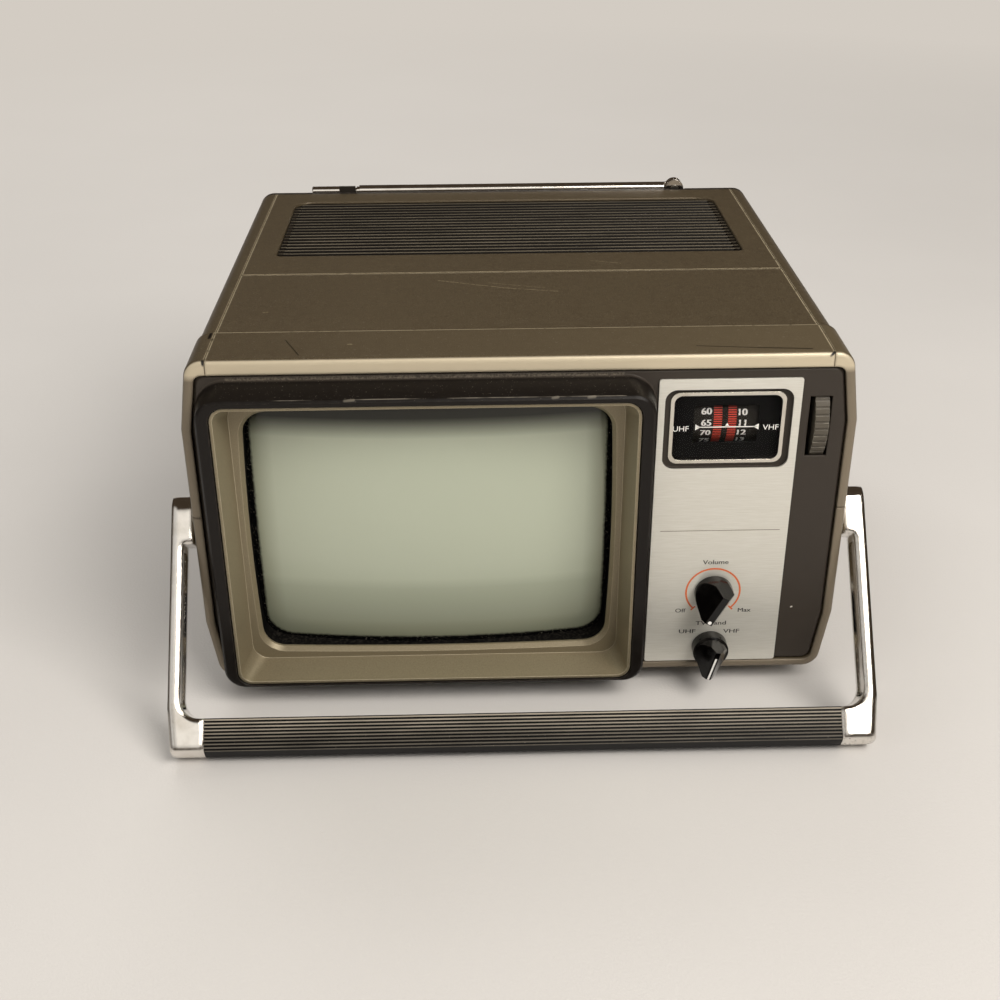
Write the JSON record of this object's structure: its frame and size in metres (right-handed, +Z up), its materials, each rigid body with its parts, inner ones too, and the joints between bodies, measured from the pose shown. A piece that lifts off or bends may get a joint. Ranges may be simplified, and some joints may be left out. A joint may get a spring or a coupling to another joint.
{
  "type": "portable television",
  "caption": "Small portable television with a hooded screen, dial and two knobs at the right, a swinging bail handle in front and a telescopic rod along the back of its ribbed top.",
  "frame": {"origin": "on the table, under the middle of the whole set with its handle down in front", "axes": "+Z up, +Y from the screen to the back, +X to the right as seen from the front"},
  "size_m": [0.301, 0.3198, 0.1635],
  "materials": {
    "bronze_abs": "satin metallic paint on moulded plastic",
    "hood_abs": "satin moulded, worn edges",
    "mask_abs": "satin champagne paint on moulded plastic",
    "black_abs": "moulded satin",
    "black_phenolic": "moulded",
    "knob_gloss": "polished",
    "wheel_abs": "moulded",
    "drum_abs": "printed",
    "dial_card": "matt",
    "washer_nylon": "natural",
    "grip_vinyl": "moulded satin",
    "rubber": "matt",
    "brushed_plate": "brushed",
    "bright_frame": "polished",
    "heat_sink": "mill",
    "handle_chrome": "plated, polished",
    "rod_chrome": "plated tube",
    "nickel": "plated",
    "steel": "zinc plated",
    "zinc_sheet": "plated sheet",
    "core_steel": "laminated",
    "copper_winding": "enamelled wire",
    "tube_glass": "polished face with grey phosphor behind",
    "dial_glass": "clear, glossy",
    "circuit_board": "paper laminate",
    "capacitor_sleeve": "sleeve",
    "paper_cone": "paper"
  },
  "bodies": {
    "cabinet": {"top_cover": "bronze_abs", "side_cover_left": "bronze_abs", "side_cover_right": "bronze_abs", "lower_cover": "bronze_abs", "top_grille": "black_abs", "back_cover": "black_abs", "feet": "rubber", "case_screws": "steel", "ac_inlet": "black_phenolic", "inlet_pins": "nickel", "dc_jack": "black_phenolic", "earphone_jack": "nickel", "terminal_board": "black_phenolic", "terminal_screws": "nickel", "rear_controls": "black_phenolic", "front_panel": "hood_abs", "screen_mask": "mask_abs", "control_plate": "brushed_plate", "dial_frame": "bright_frame", "dial_window": "dial_glass", "dial_card": "dial_card", "dial_bracket": "zinc_sheet", "tuner": "zinc_sheet", "front_controls": "zinc_sheet", "handle_pivots": "steel", "handle_washers": "washer_nylon", "antenna_socket": "black_abs", "antenna_clip": "black_abs", "picture_tube": "tube_glass", "tube_gasket": "rubber", "tube_band": "steel", "chassis_screws": "steel", "deflection_yoke": "copper_winding", "neck_board": "circuit_board", "chassis_board": "circuit_board", "board_capacitors": "capacitor_sleeve", "flyback_transformer": "black_phenolic", "heat_sink": "heat_sink", "power_transformer": "core_steel", "speaker_frame": "zinc_sheet", "speaker_cone": "paper_cone"},
    "handle": {"handle_arm_left": "handle_chrome", "handle_arm_right": "handle_chrome", "handle_grip": "grip_vinyl"},
    "tuning": {"dial_drum": "drum_abs", "tuning_shaft": "steel", "tuning_wheel": "wheel_abs"},
    "volume": {"volume_knob": "knob_gloss", "volume_shaft": "steel"},
    "band": {"band_knob": "knob_gloss", "band_shaft": "steel"},
    "brightness": {"brightness_knob": "black_abs"},
    "contrast": {"contrast_knob": "black_abs"},
    "hold": {"hold_knob": "black_abs"},
    "antenna_base": {"antenna_turret": "rod_chrome", "antenna_hinge_pin": "steel"},
    "antenna_rod": {"antenna_tube_1": "rod_chrome"},
    "antenna_stage_2": {"antenna_tube_2": "rod_chrome"},
    "antenna_stage_3": {"antenna_tube_3": "rod_chrome"},
    "antenna_stage_4": {"antenna_tube_4": "rod_chrome"}
  },
  "joints": [
    {"name": "handle_swing", "type": "hinge", "parent": "cabinet", "child": "handle", "pos_m": [0, -0.0895, 0.0845], "axis": [-1, 0, 0], "range_deg": [0, 150]},
    {"name": "tuning_turn", "type": "hinge", "parent": "cabinet", "child": "tuning", "pos_m": [0.1241, -0.086, 0.1301], "axis": [1, 0, 0], "range_deg": [-75, 210]},
    {"name": "volume_turn", "type": "hinge", "parent": "cabinet", "child": "volume", "pos_m": [0.0852, -0.1075, 0.0499], "axis": [0, 1, 0], "range_deg": [0, 287]},
    {"name": "band_turn", "type": "hinge", "parent": "cabinet", "child": "band", "pos_m": [0.0852, -0.1075, 0.0213], "axis": [0, 1, 0], "range_deg": [0, 30]},
    {"name": "brightness_turn", "type": "hinge", "parent": "cabinet", "child": "brightness", "pos_m": [-0.016, 0.1525, 0.1155], "axis": [0, 1, 0], "range_deg": [-135, 135]},
    {"name": "contrast_turn", "type": "hinge", "parent": "cabinet", "child": "contrast", "pos_m": [0.008, 0.1525, 0.1155], "axis": [0, 1, 0], "range_deg": [-135, 135]},
    {"name": "hold_turn", "type": "hinge", "parent": "cabinet", "child": "hold", "pos_m": [0.032, 0.1525, 0.1155], "axis": [0, 1, 0], "range_deg": [-135, 135]},
    {"name": "antenna_swivel", "type": "hinge", "parent": "cabinet", "child": "antenna_base", "pos_m": [0.096, 0.1477, 0.1561], "axis": [0, 0, -1], "range_deg": [0, 180]},
    {"name": "antenna_tilt", "type": "hinge", "parent": "antenna_base", "child": "antenna_rod", "pos_m": [0.096, 0.1477, 0.1561], "axis": [0, 1, 0], "range_deg": [0, 120]},
    {"name": "antenna_slide_2", "type": "slide", "parent": "antenna_rod", "child": "antenna_stage_2", "axis": [-1, 0, 0], "range_m": [0, 0.145]},
    {"name": "antenna_slide_3", "type": "slide", "parent": "antenna_stage_2", "child": "antenna_stage_3", "axis": [-1, 0, 0], "range_m": [0, 0.145]},
    {"name": "antenna_slide_4", "type": "slide", "parent": "antenna_stage_3", "child": "antenna_stage_4", "axis": [-1, 0, 0], "range_m": [0, 0.145]}
  ]
}
